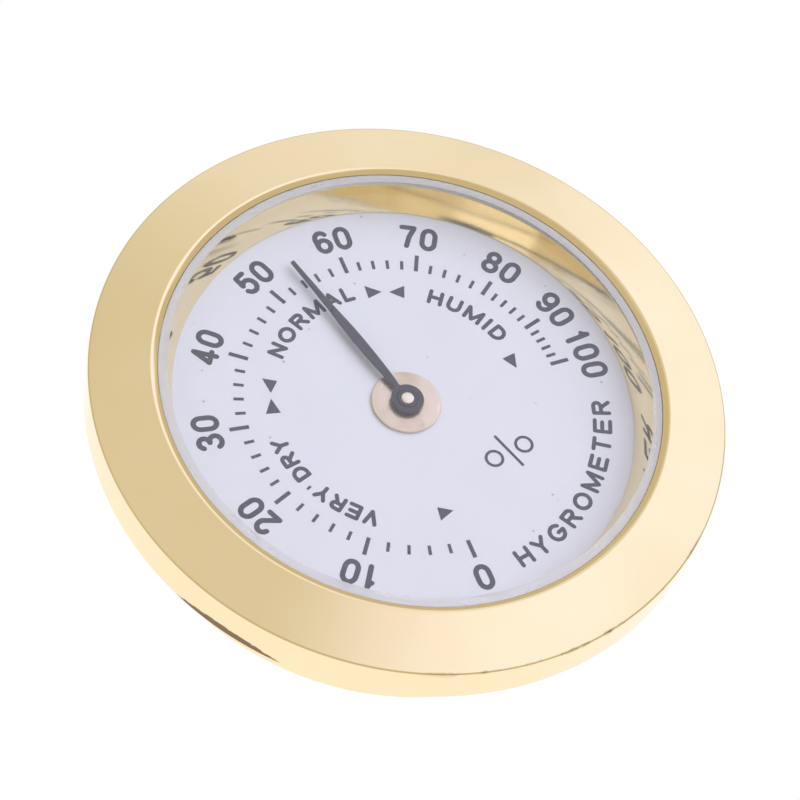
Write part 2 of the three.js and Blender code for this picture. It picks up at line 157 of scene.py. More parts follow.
def soften_edges(piece, width, steps=3):
    """Rounds a piece's sharp edges."""
    bevel = piece.modifiers.new("soft edges", "BEVEL")
    bevel.width = width * MM
    bevel.segments = steps
    bevel.limit_method = "ANGLE"
    bevel.angle_limit = math.radians(35)
    bevel.harden_normals = True


def on_curve(start, control, end, share):
    """The point a share of the way along a curve that bends towards its control point."""
    rest = 1 - share
    return start * rest ** 2 + control * 2 * share * rest + end * share ** 2


def rounded_corner(before, corner, after, size, steps=5):
    """Points of a curve that rounds one corner of an outline."""
    corner = Vector(corner)
    leg_in = Vector(before) - corner
    leg_out = Vector(after) - corner
    start = corner + leg_in.normalized() * min(size, leg_in.length * 0.45)
    end = corner + leg_out.normalized() * min(size, leg_out.length * 0.45)
    return [on_curve(start, corner, end, i / steps) for i in range(steps + 1)]


def softened(outline, size):
    """A closed [radius, depth] outline with its corners rounded, except on the axis."""
    points = []
    for i, corner in enumerate(outline):
        if corner[0] == 0:
            points.append(Vector(corner))
        else:
            after = outline[(i + 1) % len(outline)]
            points.extend(rounded_corner(outline[i - 1], corner, after, size))
    return points


def turned_mesh(outline, segments):
    """Points and faces of a solid of revolution about Y, from [radius, depth] points that run
    outwards along the front, back along the outside and inwards along the back."""
    points, rings = [], []
    for radius, depth in outline:
        steps = 1 if radius == 0 else segments
        ring = []
        for i in range(steps):
            angle = 2 * math.pi * i / segments
            ring.append(len(points))
            points.append((radius * math.sin(angle), FRONT_Y + depth, radius * math.cos(angle)))
        rings.append(ring)
    closing = [] if outline[0][0] == 0 else [(rings[-1], rings[0])]
    faces = []
    for near, far in list(zip(rings, rings[1:])) + closing:
        for i in range(segments):
            j = (i + 1) % segments
            if len(near) == 1 and len(far) == 1:
                break
            if len(near) == 1:
                faces.append((near[0], far[j], far[i]))
            elif len(far) == 1:
                faces.append((near[j], far[0], near[i]))
            else:
                faces.append((near[j], far[j], far[i], near[i]))
    return points, faces


def turned(name, outline, softness, segments, body, material, replaced=()):
    points, faces = turned_mesh(softened(outline, softness), segments)
    piece = place(name, points, faces, body, material, replaced)
    even_normals(piece)
    return piece


def flat_layer(outlines, holes=()):
    """Triangles that cover overlapping flat outlines once, without the holes."""
    corners, loops = [], []
    for outline in [*outlines, *holes]:
        loops.append(range(len(corners), len(corners) + len(outline)))
        corners.extend(Vector(p) for p in outline)
    points, _, triangles, _, _, sources = delaunay_2d_cdt(corners, [], [list(s) for s in loops], 0, 1e-6)
    solid = set(range(len(outlines)))
    kept = [t for t, source in zip(triangles, sources) if source and set(source) <= solid]
    used = sorted({corner for t in kept for corner in t})
    place_of = {corner: i for i, corner in enumerate(used)}
    return [points[i] for i in used], [[place_of[i] for i in t] for t in kept]


def sheet_mesh(layers, front, back):
    """Points and faces of closed sheets between two depths, from (points, triangles) layers."""
    points, faces = [], []
    for flat, triangles in layers:
        base, count = len(points), len(flat)
        points.extend((x, FRONT_Y + front, z) for x, z in flat)
        points.extend((x, FRONT_Y + back, z) for x, z in flat)
        sides = set()
        for a, b, c in triangles:
            faces.append((base + a, base + b, base + c))
            faces.append((base + count + c, base + count + b, base + count + a))
            sides.update([(a, b), (b, c), (c, a)])
        for a, b in sorted(sides):
            if (b, a) not in sides:
                faces.append((base + b, base + a, base + count + a, base + count + b))
    return points, faces


def arc(x, y, width, height, start, end, steps=10):
    """Points of an elliptical arc, from half width and half height and degrees from 3 o'clock."""
    points = []
    for i in range(steps + 1):
        angle = math.radians(start + (end - start) * i / steps)
        points.append((x + width * math.cos(angle), y + height * math.sin(angle)))
    return points


def turned_point(x, z, degrees):
    """A dial point turned clockwise about the axis."""
    angle = math.radians(degrees)
    return (x * math.cos(angle) + z * math.sin(angle), z * math.cos(angle) - x * math.sin(angle))


def cut_out(piece, cutter):
    """Cuts one mesh out of another and removes the cutter."""
    cutting = piece.modifiers.new("cut", "BOOLEAN")
    cutting.object = cutter
    cutting.operation = "DIFFERENCE"
    cutting.solver = "EXACT"
    evaluated = piece.evaluated_get(bpy.context.evaluated_depsgraph_get())
    result = bpy.data.meshes.new_from_object(evaluated)
    piece.modifiers.remove(cutting)
    piece.data = result
    bpy.data.objects.remove(cutter)


def cutter_from(points, faces):
    mesh = bpy.data.meshes.new("cutter")
    mesh.from_pydata([Vector(p) * MM for p in points], [], faces)
    mesh.update()
    cutter = bpy.data.objects.new("cutter", mesh)
    bpy.context.scene.collection.objects.link(cutter)
    bpy.context.view_layer.update()
    return cutter


# ---- material helpers

def start_material(name):
    material = bpy.data.materials.new(name)
    material.use_nodes = True
    return material, material.node_tree, material.node_tree.nodes["Principled BSDF"]


def add(tree, kind, settings=None, **inputs):
    """A node whose named inputs are set from values or linked from sockets."""
    node = tree.nodes.new(kind)
    for name, value in (settings or {}).items():
        setattr(node, name, value)
    for name, value in inputs.items():
        fill(tree, node.inputs[name.replace("_", " ")], value)
    return node


def fill(tree, socket, value):
    if isinstance(value, bpy.types.NodeSocket):
        tree.links.new(value, socket)
    else:
        socket.default_value = value


def math_node(tree, operation, first, second=0.0):
    node = tree.nodes.new("ShaderNodeMath")
    node.operation = operation
    fill(tree, node.inputs[0], first)
    fill(tree, node.inputs[1], second)
    return node.outputs[0]


def vector_node(tree, operation, first, second=None):
    node = add(tree, "ShaderNodeVectorMath", {"operation": operation}, Vector=first)
    if second is not None:
        node.inputs[1].default_value = second
    return node


def ranged(tree, value, from_low, from_high, to_low, to_high, shape="LINEAR"):
    """A value moved from one range to another, and kept inside it."""
    node = tree.nodes.new("ShaderNodeMapRange")
    node.interpolation_type = shape
    for socket, setting in zip(node.inputs, (value, from_low, from_high, to_low, to_high)):
        fill(tree, socket, setting)
    return node.outputs["Result"]


def mixed(tree, share, first, second):
    """A colour between two colours."""
    node = tree.nodes.new("ShaderNodeMix")
    node.data_type = "RGBA"
    colours = [s for s in node.inputs if s.type == "RGBA"]
    fill(tree, node.inputs["Factor"], share)
    fill(tree, colours[0], first)
    fill(tree, colours[1], second)
    return next(s for s in node.outputs if s.type == "RGBA")


def place_on_object(tree):
    return tree.nodes.new("ShaderNodeTexCoord").outputs["Object"]


def noise(tree, where, scale, detail=3.0, roughness=0.5):
    return add(
        tree, "ShaderNodeTexNoise", Vector=where, Scale=scale, Detail=detail, Roughness=roughness
    ).outputs["Fac"]


def round_the_axis(tree, where, along, across):
    """Coordinates that run round the dial's axis, for turning marks, with the distance from the axis
    and the place along it. Across counts the marks per metre of radius, and along says how soon a
    mark changes on its way round."""
    parts = add(tree, "ShaderNodeSeparateXYZ", Vector=where)
    flat = add(tree, "ShaderNodeCombineXYZ", X=parts.outputs["X"], Z=parts.outputs["Z"]).outputs[0]
    length = vector_node(tree, "LENGTH", flat).outputs["Value"]
    heading = vector_node(tree, "NORMALIZE", flat).outputs[0]
    heading = add(tree, "ShaderNodeSeparateXYZ", Vector=heading)
    rounds = math_node(tree, "ADD", length, parts.outputs["Y"])
    around = add(
        tree,
        "ShaderNodeCombineXYZ",
        X=math_node(tree, "MULTIPLY", heading.outputs["X"], along),
        Y=math_node(tree, "MULTIPLY", rounds, across),
        Z=math_node(tree, "MULTIPLY", heading.outputs["Z"], along),
    )
    return around.outputs[0], length, parts.outputs["Y"]


def bump(tree, shader, height, strength, distance):
    node = add(tree, "ShaderNodeBump", Height=height, Strength=strength, Distance=distance)
    tree.links.new(node.outputs["Normal"], shader.inputs["Normal"])


def speckle(tree, where, scale, size):
    """1 in small scattered spots and 0 elsewhere."""
    spots = add(tree, "ShaderNodeTexVoronoi", {"feature": "F1"}, Vector=where, Scale=scale)
    near = ranged(tree, spots.outputs["Distance"], size * 0.6, size, 1.0, 0.0)
    few = ranged(tree, noise(tree, where, scale * 0.35), 0.52, 0.6, 0.0, 1.0)
    return math_node(tree, "MULTIPLY", near, few)


# ---- materials

# Wear of the bezel's plate: nicks along the crease round its face. Painted shade on its rim: a dark
# brown patch on the rear edge, in the same brown as the nicks.
WEAR_AND_SHADE_BROWN = (0.24, 0.15, 0.085, 1.0)
WORN_ANGLE = 213.0
CREASE_RADIUS = FLANGE_RADIUS - 0.06
CREASE_HALF_WIDTH = 0.03
CREASE_FADES_AT = 0.12
CREASE_BACK_DEPTH = 0.9
CREASE_ENDS_AT = 1.1
# The rim's patch of painted shade: where it lies, how far it reaches, and how ragged and soft its edge
# is.
SHADE_PATCH_ANGLE = 280.0
SHADE_PATCH_SPREAD = 14.0
SHADE_PATCH_DEPTH = 1.05
SHADE_PATCH_RAGGEDNESS = 0.45
SHADE_PATCH_SOFTNESS = 0.12
SHADE_PATCH_STARTS_INSIDE = 0.25
SHADE_PATCH_FULL_INSIDE = 0.15


def towards(tree, where, angle):
    """How closely a point lies towards a clock direction, seen from the middle; 1 is exactly."""
    middle = turned_point(0, 1, angle)
    direction = vector_node(tree, "NORMALIZE", where).outputs[0]
    return vector_node(tree, "DOT_PRODUCT", direction, (middle[0], 0.0, middle[1])).outputs["Value"]


def crease_wear(tree, where, length, height):
    """How worn the plate is along the crease between the coned face and the rim: scattered nicks,
    low on one side."""
    off_crease = math_node(tree, "SUBTRACT", length, CREASE_RADIUS * MM)
    off_crease = math_node(tree, "ABSOLUTE", off_crease)
    crease_back = (FRONT_Y + CREASE_BACK_DEPTH) * MM
    on_front = ranged(tree, height, crease_back, (FRONT_Y + CREASE_ENDS_AT) * MM, 1.0, 0.0)
    near = ranged(tree, off_crease, CREASE_HALF_WIDTH * MM, CREASE_FADES_AT * MM, 1.0, 0.0)
    nicks = ranged(tree, noise(tree, where, 450.0, 5.0, 0.7), 0.52, 0.62, 0.0, 0.7)
    side = ranged(tree, towards(tree, where, WORN_ANGLE), 0.8, 0.95, 0.0, 1.0)
    on_crease = math_node(tree, "MULTIPLY", near, on_front)
    return math_node(tree, "MULTIPLY", math_node(tree, "MULTIPLY", on_crease, nicks), side)


def rim_stain(tree, where, length, height):
    """Painted shade: a dark brown patch on the rear edge of the rim, longest at that edge."""
    spread = math.cos(math.radians(SHADE_PATCH_SPREAD))
    share = ranged(tree, towards(tree, where, SHADE_PATCH_ANGLE), spread, 1.0, 0.0, 1.0)
    ragged = noise(tree, where, 1800.0, 5.0, 0.7)
    ragged = math_node(tree, "MULTIPLY", ragged, SHADE_PATCH_RAGGEDNESS * MM)
    reach = math_node(tree, "MULTIPLY", share, SHADE_PATCH_DEPTH * MM)
    edge = math_node(tree, "SUBTRACT", (FRONT_Y + FLANGE_BACK_DEPTH) * MM, height)
    inside = math_node(tree, "SUBTRACT", reach, math_node(tree, "ADD", edge, ragged))
    rim_start = (FLANGE_RADIUS - SHADE_PATCH_STARTS_INSIDE) * MM
    on_rim = ranged(tree, length, rim_start, (FLANGE_RADIUS - SHADE_PATCH_FULL_INSIDE) * MM, 0.0, 1.0)
    on_patch = ranged(tree, inside, 0.0, SHADE_PATCH_SOFTNESS * MM, 0.0, 0.95)
    return math_node(tree, "MULTIPLY", on_patch, on_rim)


def gold_plate(name, light, deep, roughness, ripple, edge_wear_and_painted_shade):
    """Polished plate: faint turning lines, soft haze, and wear on the outer edges, with painted shade in
    a patch on the rim's rear edge.
    """
    material, tree, shader = start_material(name)
    where = place_on_object(tree)
    lines_at, length, height = round_the_axis(tree, where, 3.0, 9000.0)
    lines = noise(tree, lines_at, 1.0, 2.0)
    haze = noise(tree, where, 160.0, 4.0)
    grain = noise(tree, where, 2600.0, 2.0)
    colour = mixed(tree, ranged(tree, haze, 0.3, 0.7, 0.0, 1.0), light, deep)
    gloss = ranged(tree, haze, 0.3, 0.7, roughness, roughness * 1.7)
    relief = math_node(tree, "ADD", math_node(tree, "MULTIPLY", lines, 0.7), grain)
    if edge_wear_and_painted_shade:
        # Painted shade on the rim's rear edge, mixed with the crease's nicks of wear into one dark
        # brown.
        tarnish_and_painted_shade = rim_stain(tree, where, length, height)
        wear_and_shade_share = math_node(tree, "MAXIMUM", crease_wear(tree, where, length, height), tarnish_and_painted_shade)
        colour = mixed(tree, wear_and_shade_share, colour, WEAR_AND_SHADE_BROWN)
        gloss = math_node(tree, "ADD", gloss, math_node(tree, "MULTIPLY", wear_and_shade_share, 0.4))
        relief = math_node(tree, "SUBTRACT", relief, math_node(tree, "MULTIPLY", wear_and_shade_share, 3.0))
    tree.links.new(colour, shader.inputs["Base Color"])
    shader.inputs["Metallic"].default_value = 1.0
    tree.links.new(gloss, shader.inputs["Roughness"])
    bump(tree, shader, relief, ripple, 0.004 * MM)
    return material


ACRYLIC_IOR = 1.49


def clear_material(name, clearness, tint, roughness, round_marks, relief):
    """Clear moulded plastic that lets light through to the dial. Where it is ground, part of the
    light is scattered at the surface instead."""
    material, tree, shader = start_material(name)
    where = place_on_object(tree)
    around, _, _ = round_the_axis(tree, where, round_marks, 5000.0)
    cloud = noise(tree, around, 1.0, 3.0)
    shader.inputs["Base Color"].default_value = tint
    shader.inputs["Transmission Weight"].default_value = clearness
    shader.inputs["IOR"].default_value = ACRYLIC_IOR
    rough = ranged(tree, cloud, 0.35, 0.65, roughness * 0.6, roughness * 1.5)
    tree.links.new(rough, shader.inputs["Roughness"])
    bump(tree, shader, cloud, relief, 0.01 * MM)
    open_shader = tree.nodes.new("ShaderNodeBsdfTransparent")
    light_path = tree.nodes.new("ShaderNodeLightPath")
    chooser = tree.nodes.new("ShaderNodeMixShader")
    tree.links.new(light_path.outputs["Is Shadow Ray"], chooser.inputs[0])
    tree.links.new(shader.outputs[0], chooser.inputs[1])
    tree.links.new(open_shader.outputs[0], chooser.inputs[2])
    tree.links.new(chooser.outputs[0], tree.nodes["Material Output"].inputs["Surface"])
    return material


def painted(name, light, dark, specks, roughness, relief):
    """Smooth paint or ink: faint clouds, a few fine specks and a slight orange peel."""
    material, tree, shader = start_material(name)
    where = place_on_object(tree)
    cloud = ranged(tree, noise(tree, where, 260.0, 4.0), 0.35, 0.65, 0.0, 1.0)
    colour = mixed(tree, cloud, light, dark)
    dots = speckle(tree, where, 900.0, 0.09)
    colour = mixed(tree, dots, colour, specks)
    tree.links.new(colour, shader.inputs["Base Color"])
    tree.links.new(ranged(tree, cloud, 0.0, 1.0, roughness, roughness * 1.3), shader.inputs["Roughness"])
    peel = noise(tree, where, 3200.0, 3.0)
    bump(tree, shader, math_node(tree, "ADD", peel, dots), relief, 0.003 * MM)
    return material


TARNISH_BROWN = (0.22, 0.13, 0.07, 1.0)


def turned_metal(name, light, dark, roughness, relief, tarnish):
    """Satin metal with circular turning marks and a little tarnish."""
    material, tree, shader = start_material(name)
    where = place_on_object(tree)
    marks_at, _, _ = round_the_axis(tree, where, 2.0, 14000.0)
    marks = noise(tree, marks_at, 1.0, 3.0, 0.6)
    cloud = noise(tree, where, 420.0, 5.0, 0.6)
    colour = mixed(tree, ranged(tree, marks, 0.3, 0.7, 0.0, 1.0), light, dark)
    tarnish_and_painted_shade = ranged(tree, cloud, 0.5, 0.75, 0.0, tarnish)
    colour = mixed(tree, tarnish_and_painted_shade, colour, TARNISH_BROWN)
    tree.links.new(colour, shader.inputs["Base Color"])
    shader.inputs["Metallic"].default_value = 1.0
    uneven = math_node(tree, "ADD", marks, cloud)
    rough = ranged(tree, uneven, 0.7, 1.3, roughness * 0.75, roughness * 1.3)
    tree.links.new(rough, shader.inputs["Roughness"])
    bump(tree, shader, marks, relief, 0.006 * MM)
    return material


def rolled_metal(name, light, dark, roughness, relief):
    """Sheet metal with straight rolling marks and small scratches."""
    material, tree, shader = start_material(name)
    where = place_on_object(tree)
    stretch = add(tree, "ShaderNodeMapping", Vector=where, Scale=(12000.0, 6000.0, 500.0)).outputs[0]
    marks = noise(tree, stretch, 1.0, 3.0, 0.6)
    cloud = noise(tree, where, 500.0, 4.0)
    colour = mixed(tree, ranged(tree, cloud, 0.35, 0.65, 0.0, 1.0), light, dark)
    tree.links.new(colour, shader.inputs["Base Color"])
    shader.inputs["Metallic"].default_value = 1.0
    rough = ranged(tree, marks, 0.3, 0.7, roughness * 0.75, roughness * 1.3)
    tree.links.new(rough, shader.inputs["Roughness"])
    bump(tree, shader, marks, relief, 0.005 * MM)
    return material


def moulded_plastic(name):
    material, tree, shader = start_material(name)
    where = place_on_object(tree)
    grain = noise(tree, where, 4200.0, 4.0, 0.6)
    cloud = noise(tree, where, 300.0, 3.0)
    colour = mixed(tree, cloud, (0.018, 0.018, 0.02, 1.0), (0.04, 0.04, 0.044, 1.0))
    tree.links.new(colour, shader.inputs["Base Color"])
    tree.links.new(ranged(tree, cloud, 0.3, 0.7, 0.42, 0.6), shader.inputs["Roughness"])
    bump(tree, shader, grain, 0.35, 0.01 * MM)
    return material


def floor_paint():
    material, tree, shader = start_material("studio_floor")
    where = place_on_object(tree)
    cloud = noise(tree, where, 6.0, 3.0)
    colour = mixed(tree, cloud, (0.88, 0.88, 0.89, 1.0), (0.92, 0.92, 0.92, 1.0))
    tree.links.new(colour, shader.inputs["Base Color"])
    shader.inputs["Roughness"].default_value = 0.7
    shader.inputs["Emission Color"].default_value = (0.95, 0.98, 1.0, 1.0)
    shader.inputs["Emission Strength"].default_value = 0.55
    return material


gold = gold_plate(
    "bezel_gold",
    light=(0.95, 0.775, 0.49, 1.0),
    deep=(0.94, 0.75, 0.455, 1.0),
    roughness=0.09,
    ripple=0.05,
    edge_wear_and_painted_shade=True,
)
reflector_gold = gold_plate(
    "reflector_gold",
    light=(0.98, 0.83, 0.51, 1.0),
    deep=(0.97, 0.81, 0.48, 1.0),
    roughness=0.05,
    ripple=0.06,
    edge_wear_and_painted_shade=False,
)
clear = clear_material(
    "lens_clear",
    clearness=1.0,
    tint=(0.985, 0.985, 0.99, 1.0),
    roughness=0.006,
    round_marks=12.0,
    relief=0.02,
)
ground_clear = clear_material(
    "lens_ground_edge",
    clearness=0.5,
    tint=(0.6, 0.582, 0.63, 1.0),
    roughness=0.45,
    round_marks=8.0,
    relief=0.3,
)
frosted_clear = clear_material(
    "lens_frosted_edge",
    clearness=0.25,
    tint=(0.96, 0.93, 0.92, 1.0),
    roughness=0.5,
    round_marks=8.0,
    relief=0.2,
)
dial_paint = painted(
    "dial_paint",
    light=(0.848, 0.84, 0.95, 1.0),
    dark=(0.833, 0.825, 0.94, 1.0),
    specks=(0.5, 0.49, 0.55, 1.0),
    roughness=0.38,
    relief=0.04,
)
ink = painted(
    "dial_print",
    light=(0.047, 0.044, 0.062, 1.0),
    dark=(0.065, 0.061, 0.082, 1.0),
    specks=(0.18, 0.17, 0.21, 1.0),
    roughness=0.42,
    relief=0.1,
)
lacquer = painted(
    "pointer_lacquer",
    light=(0.052, 0.043, 0.05, 1.0),
    dark=(0.036, 0.03, 0.038, 1.0),
    specks=(0.12, 0.1, 0.1, 1.0),
    roughness=0.28,
    relief=0.08,
)
copper = turned_metal(
    "bush_copper",
    light=(0.93, 0.76, 0.63, 1.0),
    dark=(0.86, 0.69, 0.56, 1.0),
    roughness=0.34,
    relief=0.25,
    tarnish=0.35,
)
turned_brass = turned_metal(
    "turned_brass",
    light=(0.83, 0.66, 0.36, 1.0),
    dark=(0.70, 0.54, 0.28, 1.0),
    roughness=0.3,
    relief=0.35,
    tarnish=0.45,
)
pin_brass = turned_metal(
    "pin_brass",
    light=(0.97, 0.87, 0.78, 1.0),
    dark=(0.94, 0.83, 0.72, 1.0),
    roughness=0.28,
    relief=0.15,
    tarnish=0.1,
)
sheet_brass = rolled_metal(
    "sheet_brass",
    light=(0.80, 0.63, 0.34, 1.0),
    dark=(0.70, 0.54, 0.27, 1.0),
    roughness=0.3,
    relief=0.3,
)
steel = rolled_metal(
    "bright_steel",
    light=(0.72, 0.73, 0.75, 1.0),
    dark=(0.60, 0.61, 0.64, 1.0),
    roughness=0.26,
    relief=0.25,
)
coil_film = rolled_metal(
    "coil_film",
    light=(0.62, 0.40, 0.24, 1.0),
    dark=(0.50, 0.31, 0.18, 1.0),
    roughness=0.42,
    relief=0.4,
)
black_plastic = moulded_plastic("black_plastic")


# ---- camera and stage

CAMERA_AZIMUTH = -34.44
CAMERA_ELEVATION = -3.76
CAMERA_ROLL = 65.73
CAMERA_DISTANCE = 170.5
CAMERA_AIM = (-1.21, -3.25, 0.25)
CAMERA_LENS = 135.0
SENSOR_WIDTH = 36.0

TENT_UPPER = (0.765, 0.75, 0.685, 1.0)
TENT_RIGHT = (0.95, 0.98, 1.06, 1.0)
TENT_LOW = (1.1, 1.14, 1.36, 1.0)
TENT_DIM = (0.62, 0.58, 0.44, 1.0)
TENT_BEHIND = (1.06, 1.08, 1.1, 1.0)
WHITE = (1.0, 1.0, 1.0, 1.0)
PANEL_DIRECTION = (0.56, -0.8, -0.19)
PANEL_HALF_SIZE = (0.13, 0.6, 0.38)
KEY_DIRECTION = (0.4, -0.85, -0.35)
KEY_DISTANCE = 0.4
KEY_SIZE = 0.45
KEY_POWER = 1.53
KEY_COLOUR = (0.92, 0.97, 1.06)
FLOOR_HEIGHT = -0.5
FLOOR_REACH = 1.3
FLOOR_SIDES = 96


def make_camera():
    """The photograph's view: from the left of the dial, rolled, with a long lens."""
    azimuth = math.radians(CAMERA_AZIMUTH)
    elevation = math.radians(CAMERA_ELEVATION)
    back = Vector((
        math.sin(azimuth) * math.cos(elevation),
        -math.cos(azimuth) * math.cos(elevation),
        math.sin(elevation),
    ))
    data = bpy.data.cameras.new("camera")
    data.lens = CAMERA_LENS
    data.sensor_width = SENSOR_WIDTH
    data.clip_start = 0.01
    camera = bpy.data.objects.new("camera", data)
    camera.location = (Vector(CAMERA_AIM) + back * CAMERA_DISTANCE) * MM
    camera.rotation_mode = "QUATERNION"
    roll = Quaternion((0, 0, 1), math.radians(-CAMERA_ROLL))
    camera.rotation_quaternion = back.to_track_quat("Z", "Y") @ roll
    bpy.context.scene.collection.objects.link(camera)
    bpy.context.scene.camera = camera


def make_floor():
    """A wide pale floor, well below the instrument."""
    mesh = bpy.data.meshes.new("floor")
    rim = []
    for i in range(FLOOR_SIDES):
        angle = 2 * math.pi * i / FLOOR_SIDES
        rim.append((FLOOR_REACH * math.cos(angle), FLOOR_REACH * math.sin(angle), FLOOR_HEIGHT))
    mesh.from_pydata(rim, [], [range(FLOOR_SIDES)])
    mesh.materials.append(floor_paint())
    floor = bpy.data.objects.new("floor", mesh)
    floor.visible_glossy = False
    floor.visible_transmission = False
    bpy.context.scene.collection.objects.link(floor)


def make_key_light():
    """A large softbox in front, low on the right. It lights the dial and isn't mirrored by the gold,
    which mirrors the tent."""
    data = bpy.data.lights.new("key", "AREA")
    data.size = KEY_SIZE
    data.energy = KEY_POWER
    data.color = KEY_COLOUR
    light = bpy.data.objects.new("key", data)
    away = Vector(KEY_DIRECTION).normalized()
    light.location = away * KEY_DISTANCE
    light.rotation_mode = "QUATERNION"
    light.rotation_quaternion = away.to_track_quat("Z", "Y")
    light.visible_glossy = False
    light.visible_transmission = False
    bpy.context.scene.collection.objects.link(light)


def fading_in(tree, value, starts_at, full_at):
    """0 where a value is short of its start, 1 where it is full, and smooth between."""
    return ranged(tree, value, starts_at, full_at, 0.0, 1.0, "SMOOTHSTEP")


def make_studio():
    """A pale light tent. It is bright behind the instrument, on the right, low down in front, and at
    a panel that the reflector ring mirrors; it is dim to the left, above, below and beside."""
    world = bpy.data.worlds.new("studio")
    world.use_nodes = True
    tree = world.node_tree
    tree.nodes.clear()
    facing = tree.nodes.new("ShaderNodeTexCoord").outputs["Generated"]
    parts = add(tree, "ShaderNodeSeparateXYZ", Vector=facing).outputs
    to_the_right = fading_in(tree, parts["X"], 0.5, 0.92)
    low_down = fading_in(tree, parts["Z"], 0.14, -0.24)
    to_the_left = fading_in(tree, parts["X"], 0.08, -0.08)
    underneath = fading_in(tree, parts["Z"], -0.38, -0.47)
    overhead = fading_in(tree, parts["Z"], 0.46, 0.6)
    beside = fading_in(tree, parts["Y"], -0.42, -0.34)
    behind = fading_in(tree, parts["Y"], 0.0, 0.6)
    offset = vector_node(tree, "SUBTRACT", facing, PANEL_DIRECTION).outputs[0]
    offset = vector_node(tree, "DIVIDE", offset, PANEL_HALF_SIZE).outputs[0]
    from_panel = vector_node(tree, "LENGTH", offset).outputs["Value"]
    panel = fading_in(tree, from_panel, 1.15, 0.75)
    tent = mixed(tree, to_the_right, TENT_UPPER, TENT_RIGHT)
    tent = mixed(tree, low_down, tent, TENT_LOW)
    for dim_side in (to_the_left, underneath, overhead, beside):
        tent = mixed(tree, dim_side, tent, TENT_DIM)
    tent = mixed(tree, behind, tent, TENT_BEHIND)
    tent = mixed(tree, panel, tent, TENT_LOW)
    light_path = tree.nodes.new("ShaderNodeLightPath")
    seen = mixed(tree, light_path.outputs["Is Camera Ray"], tent, WHITE)
    background = add(tree, "ShaderNodeBackground", Color=seen, Strength=1.0)
    output = tree.nodes.new("ShaderNodeOutputWorld")
    tree.links.new(background.outputs[0], output.inputs["Surface"])
    bpy.context.scene.world = world
    bpy.context.scene.view_settings.view_transform = "Standard"


# ---- the case

def make_bezel():
    """The polished ring: bevelled lip, coned face, straight rim, and a sleeve with a crimped end."""
    outline = [
        (LIP_RADIUS, LIP_BACK_DEPTH),
        (LIP_RADIUS, LIP_BEVEL_DEPTH),
        (LIP_CREST_RADIUS - LIP_CREST_WIDTH, LIP_CREST_DROP),
        (LIP_CREST_RADIUS, 0.0),
        (FLANGE_RADIUS - FLANGE_EDGE_CHAMFER, FLANGE_EDGE_DEPTH - 0.012),
        (FLANGE_RADIUS, FLANGE_EDGE_DEPTH + FLANGE_EDGE_CHAMFER),
        (FLANGE_RADIUS, FLANGE_BACK_DEPTH - FLANGE_BACK_CHAMFER),
        (FLANGE_RADIUS - FLANGE_BACK_CHAMFER, FLANGE_BACK_DEPTH),
        (SLEEVE_RADIUS, FLANGE_BACK_DEPTH),
        (SLEEVE_RADIUS, TOTAL_DEPTH - SLEEVE_CHAMFER),
        (SLEEVE_RADIUS - SLEEVE_CHAMFER, TOTAL_DEPTH),
        (CRIMP_RADIUS, TOTAL_DEPTH),
        (CRIMP_RADIUS, CRIMP_DEPTH),
        (SLEEVE_BORE, CRIMP_DEPTH),
        (SLEEVE_BORE, LIP_BACK_DEPTH),
    ]
    turned("bezel", outline, 0.06, RING_SEGMENTS, "case", gold, ["front_bezel"])


def make_lens():
    """The clear lens, with its ground chamfer and its frosted flank and seat as further finishes."""
    front = front_of("lens")
    back = back_of("lens")
    foot = LIP_BACK_DEPTH + 0.03
    outline = [
        (0, front),
        (LENS_BOSS_RADIUS - LENS_CHAMFER_WIDTH, front),
        (LENS_BOSS_RADIUS, front + LENS_CHAMFER),
        (LENS_BOSS_RADIUS, foot),
        (STACK_RADIUS, foot),
        (STACK_RADIUS, back),
        (LENS_WINDOW_RADIUS, back),
        (0, back),
    ]
    piece = turned("lens_fine", outline, 0.03, RING_SEGMENTS, "case", clear, ["lens"])
    piece.data.materials.append(ground_clear)
    piece.data.materials.append(frosted_clear)
    corner_rounding = 0.04
    chamfer_inner = LENS_BOSS_RADIUS - LENS_CHAMFER_WIDTH - corner_rounding
    chamfer_back = front + LENS_CHAMFER + corner_rounding
    for face in piece.data.polygons:
        corners = [piece.data.vertices[i].co / MM for i in face.vertices]
        inner = min(math.hypot(corner.x, corner.z) for corner in corners)
        deepest = max(corner.y for corner in corners) - FRONT_Y
        if inner > chamfer_inner and deepest < chamfer_back:
            face.material_index = GROUND_FINISH
        elif inner > LENS_WINDOW_RADIUS - 0.01:
            face.material_index = FROSTED_FINISH


def make_reflector():
    """The bright coned ring between the lens and the dial, a hairline clear of the lens."""
    front = front_of("reflector_ring")
    back = back_of("reflector_ring")
    outline = [
        (REFLECTOR_TOP_RADIUS, front + HAIRLINE),
        (STACK_RADIUS, front + HAIRLINE),
        (STACK_RADIUS, back),
        (DIAL_OPENING_RADIUS, back),
    ]
    turned("reflector", outline, 0.04, RING_SEGMENTS, "case", reflector_gold,
           ["reflector_ring"])


VENT_COUNT = 8
VENT_WIDTH = 1.8
VENT_INNER = 5.6
VENT_OUTER = 11.6


def vent_outline(index):
    """One radial slot with round ends."""
    half = VENT_WIDTH / 2
    outer_end = arc(0, VENT_OUTER - half, half, half, 0, 180, 14)
    inner_end = arc(0, VENT_INNER + half, half, half, 180, 360, 14)
    heading = (index + 0.5) * 360 / VENT_COUNT
    return [turned_point(x, z, heading) for x, z in outer_end + inner_end]


